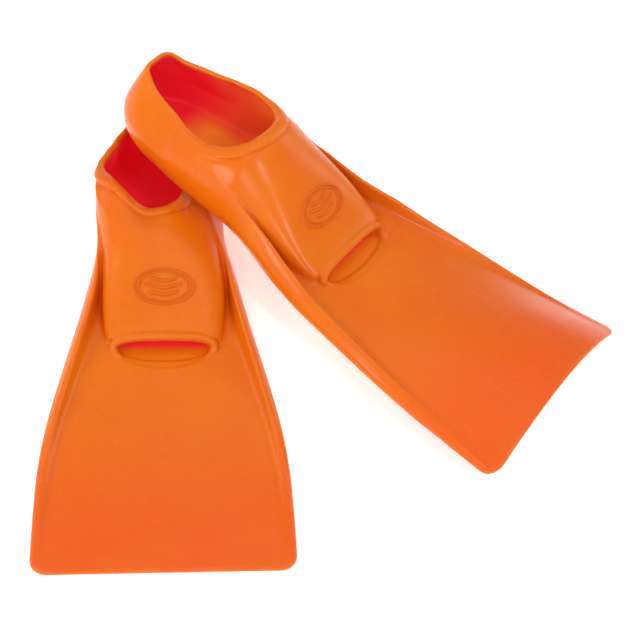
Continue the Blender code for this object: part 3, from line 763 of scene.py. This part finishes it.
def rubber(name, shift, inside=None):
    """Soft glossy rubber dyed orange: mottled, paler where it is rubbed and with a painted highlight on the
    ridges, painted shade in the grooves, and painted crimson shade, painted light and a painted glow in the
    pocket.
    """
    n = Nodes(name)
    place = n.attribute("fin_place", "Vector")
    moved = n.node("ShaderNodeVectorMath", operation="ADD")
    n.feed(moved.inputs[0], place)
    moved.inputs[1].default_value = (shift, 0.31 * shift, 0.7 * shift)
    at = moved.outputs["Vector"]
    split = n.node("ShaderNodeSeparateXYZ")
    n.feed(split.inputs[0], place)
    along = split.outputs["Y"]

    # Colour: paler round the toes, deeper towards the tip, with cloudy mottling in two sizes
    base = n.mix(n.spread(along, 0.01, 0.17), ORANGE_TOES, ORANGE_TIP)
    clouds = n.noise(at, 16, 3, 0.55, 0.4)
    base = n.mix(n.spread(clouds, 0.35, 0.72, 0.0, 0.6), base, ORANGE_CLOUD)
    specks = n.noise(at, 130, 3, 0.6)
    base = n.mix(n.spread(specks, 0.58, 0.78, 0.0, 0.30), base, ORANGE_DEEP)

    # Wear and painted light: pale on the ridges, in patches, partly rub wear and partly a painted highlight,
    # and painted shade of deeper colour in the grooves
    ridge = n.attribute("ridge")
    patches = n.spread(n.noise(at, 48, 4, 0.62), 0.36, 0.66, 0.25, 1.0)
    ridge_wear_and_highlight = n.math("MULTIPLY", n.spread(ridge, 0.25, 1.0), patches, True)
    base = n.mix(n.math("MULTIPLY", ridge_wear_and_highlight, 0.34), base, ORANGE_WEAR_AND_HIGHLIGHT)
    # Painted shade: the grooves drawn in a deeper orange
    groove_shade = n.spread(ridge, -0.15, -0.9)
    base = n.mix(n.math("MULTIPLY", groove_shade, 0.55), base, ORANGE_SHADE_AND_EMBLEM)

    # Long faint scuffs along the blade
    stretched = n.node("ShaderNodeVectorMath", operation="MULTIPLY")
    n.feed(stretched.inputs[0], at)
    stretched.inputs[1].default_value = (1.0, 0.06, 0.4)
    scuffs = n.spread(n.noise(stretched.outputs["Vector"], 420, 2, 0.5), 0.66, 0.78)
    where = n.spread(n.noise(at, 11, 2, 0.5), 0.5, 0.66)
    scuffs = n.math("MULTIPLY", scuffs, where)
    base = n.mix(n.math("MULTIPLY", scuffs, 0.16), base, ORANGE_WEAR_AND_HIGHLIGHT)

    hollow = n.attribute("hollow")
    if inside:
        heel, toes, bed, glow = inside
        # Painted shade and light inside: crimson towards the heel, the toes' colour further forward, a
        # lighter painted strip of light along the foot bed, mottled back towards the heel's shade
        shade = n.mix(n.spread(along, -0.165, -0.085), heel, toes)
        low = n.spread(split.outputs["Z"], 0.022, 0.008)
        aside = n.math("ABSOLUTE", n.math("ADD", split.outputs["X"], 0.012))
        middle = n.spread(aside, 0.024, 0.008)
        strip = n.math("MULTIPLY", n.math("MULTIPLY", low, middle), n.spread(along, -0.165, -0.135))
        shade = n.mix(n.math("MULTIPLY", strip, 0.8), shade, bed)
        shade = n.mix(n.spread(clouds, 0.4, 0.7, 0.0, 0.3), shade, heel)
        # Painted shade again towards the drain, under the lip
        shade = n.mix(n.spread(along, -0.050, -0.015), shade, heel)
        base = n.mix(n.math("MULTIPLY", hollow, 0.97), base, shade)
        # Painted glow: emission that stands in for daylight coming through the pocket's thin walls
        n.shader.inputs["Emission Color"].default_value = (*PAINTED_GLOW, 1)
        n.feed(n.shader.inputs["Emission Strength"], n.math("MULTIPLY", hollow, glow))
    else:
        base = n.mix(n.math("MULTIPLY", n.attribute("relief"), 0.35), base, ORANGE_SHADE_AND_EMBLEM)
    n.feed(n.shader.inputs["Base Color"], base)

    # Gloss: a satin skin, duller where worn, in the scuffs and inside
    rough = n.spread(n.noise(at, 27, 4, 0.6), 0.3, 0.7, 0.21, 0.32)
    rough = n.math("ADD", rough, n.math("MULTIPLY", ridge_wear_and_highlight, 0.10))
    rough = n.math("ADD", rough, n.math("MULTIPLY", scuffs, 0.14))
    rough = n.math("ADD", rough, n.math("MULTIPLY", hollow, 0.12), True)
    n.feed(n.shader.inputs["Roughness"], rough)

    # Surface: a fine moulded grain, faint flow ripples and the scuffs
    grain = n.noise(at, 900, 3, 0.6)
    ripples = n.noise(at, 75, 2, 0.5, 0.6)
    height = n.math("ADD", n.math("MULTIPLY", grain, 0.06), n.math("MULTIPLY", ripples, 0.25))
    height = n.math("SUBTRACT", height, n.math("MULTIPLY", scuffs, 0.08))
    bump = n.node("ShaderNodeBump")
    bump.inputs["Strength"].default_value = 0.35
    bump.inputs["Distance"].default_value = 0.0006
    n.feed(bump.inputs["Height"], height)
    n.feed(n.shader.inputs["Normal"], bump.outputs["Normal"])

    n.shader.inputs["Specular IOR Level"].default_value = 0.22
    n.shader.inputs["IOR"].default_value = 1.5
    n.shader.inputs["Subsurface Weight"].default_value = 0.3
    n.shader.inputs["Subsurface Radius"].default_value = (1.0, 0.12, 0.06)
    n.shader.inputs["Subsurface Scale"].default_value = 0.004
    return n.material


# ---------------------------------------------------------------- the two fins


net_points, net_quads = moulding()
skin_marks = {
    "hollow": evened(hollow_mark(net_points), net_quads, 2),
    "ridge": evened(ridge_mark(net_points), net_quads, 3),
}
relief_points, relief_faces, relief_mark = emblem_mesh()

SKIN_NODES = (
    "foot_bed", "pocket_wall", "collar_bead", "vamp", "toe_lip", "apron", "rail_root_left", "rail_root_right",
    "flex_zone", "blade", "rail_left", "rail_right",
)
for tag, shift in (("a", 0.0), ("b", 0.9)):
    skin_rubber = rubber(f"rubber_{tag}", shift, POCKET_PAINTED_LIGHT[tag])
    skin = mesh_object(f"fin_skin_{tag}", tag, net_points, net_quads, skin_rubber, **skin_marks)
    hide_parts(*(f"{node}_{tag}" for node in SKIN_NODES))
    start, end = in_place(tag, [(0, FLEX_START, FLEX_HEIGHT), (0, FLEX_END, FLEX_HEIGHT)])
    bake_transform(skin)
    emblem_rubber = rubber(f"rubber_emblem_{tag}", shift)
    none = np.zeros(len(relief_points))
    relief_marks = {"hollow": none, "ridge": none, "relief": relief_mark}
    emblem = mesh_object(f"emblem_{tag}", tag, relief_points, relief_faces, emblem_rubber, **relief_marks)
    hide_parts(f"badge_{tag}")
    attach(emblem, f"foot_{tag}")


# ---------------------------------------------------------------- floor, light and camera


FLOOR_HALF_SIZE = 14.0
FLOOR_CLEARANCE = 0.0006
FLOOR_GLOW = 0.48
SURROUNDINGS = 0.55
SENSOR_WIDTH = 36.0


def floor():
    """A pale floor with a faint glow of its own, which keeps it near white."""
    mesh = bpy.data.meshes.new("floor")
    s = FLOOR_HALF_SIZE
    mesh.from_pydata([(-s, -s, 0), (s, -s, 0), (s, s, 0), (-s, s, 0)], [], [(0, 1, 2, 3)])
    obj = bpy.data.objects.new("floor", mesh)
    obj.location.z = -FLOOR_CLEARANCE
    bpy.context.scene.collection.objects.link(obj)
    n = Nodes("floor")
    paper = n.node("ShaderNodeNewGeometry").outputs["Position"]
    tone = n.mix(n.noise(paper, 3, 2), (0.93, 0.93, 0.93), (0.95, 0.95, 0.95))
    n.feed(n.shader.inputs["Base Color"], tone)
    n.shader.inputs["Roughness"].default_value = 0.9
    n.shader.inputs["Specular IOR Level"].default_value = 0.1
    n.shader.inputs["Emission Color"].default_value = (1, 1, 1, 1)
    n.shader.inputs["Emission Strength"].default_value = FLOOR_GLOW
    mesh.materials.append(n.material)


def soft_light(name, place, aim, size, watts, colour=(1, 1, 1)):
    """A rectangular light that faces a point."""
    light = bpy.data.lights.new(name, "AREA")
    light.shape = "RECTANGLE"
    light.size, light.size_y = size
    light.energy, light.color = watts, colour
    obj = bpy.data.objects.new(name, light)
    obj.location = place
    obj.rotation_euler = (Vector(aim) - Vector(place)).to_track_quat("-Z", "Y").to_euler()
    bpy.context.scene.collection.objects.link(obj)


def camera():
    """The photograph's viewpoint."""
    a, e, roll = (math.radians(angle) for angle in (CAMERA_AZIMUTH, CAMERA_ELEVATION, CAMERA_ROLL))
    back = Vector((math.sin(a) * math.cos(e), -math.cos(a) * math.cos(e), math.sin(e)))
    level = Vector((math.cos(a), math.sin(a), 0))
    upright = back.cross(level)
    right = math.cos(roll) * level + math.sin(roll) * upright
    up = math.cos(roll) * upright - math.sin(roll) * level
    data = bpy.data.cameras.new("camera")
    data.lens, data.sensor_width = CAMERA_LENS, SENSOR_WIDTH
    data.clip_start, data.clip_end = 0.05, 50.0
    data.dof.use_dof = False
    obj = bpy.data.objects.new("camera", data)
    turn = Matrix((right, up, back)).transposed().to_4x4()
    target = LOWER_ORIGIN + Vector(CAMERA_TARGET) * MM
    obj.matrix_world = Matrix.Translation(target + back * CAMERA_DISTANCE * MM) @ turn
    bpy.context.scene.collection.objects.link(obj)
    bpy.context.scene.camera = obj


floor()
soft_light("overhead", (0.1, 0.1, 1.6), (0, 0, 0), (1.6, 1.6), 5.6)
soft_light("left", (-1.3, 0.5, 0.9), (0, 0, 0.03), (0.9, 0.7), 4.0, (1, 0.9, 0.86))
soft_light("right", (1.2, 0.7, 0.8), (0.05, 0, 0.03), (0.5, 0.9), 4.0, (1, 0.9, 0.86))
soft_light("front", (-0.33, -1.15, 0.78), (0, 0, 0.04), (0.36, 0.36), 3.2)
soft_light("window", (0.33, -0.56, 0.79), (-0.02, 0.04, 0.06), (0.04, 0.16), 1.4)
soft_light("strip", (-0.8, -0.46, 0.36), (-0.06, 0.06, 0.08), (0.05, 0.3), 1.6)
camera()

world = bpy.data.worlds.new("studio")
world.use_nodes = True
world.node_tree.nodes["Background"].inputs["Color"].default_value = (1, 1, 1, 1)
world.node_tree.nodes["Background"].inputs["Strength"].default_value = SURROUNDINGS
bpy.context.scene.world = world
bpy.context.scene.view_settings.view_transform = "Standard"
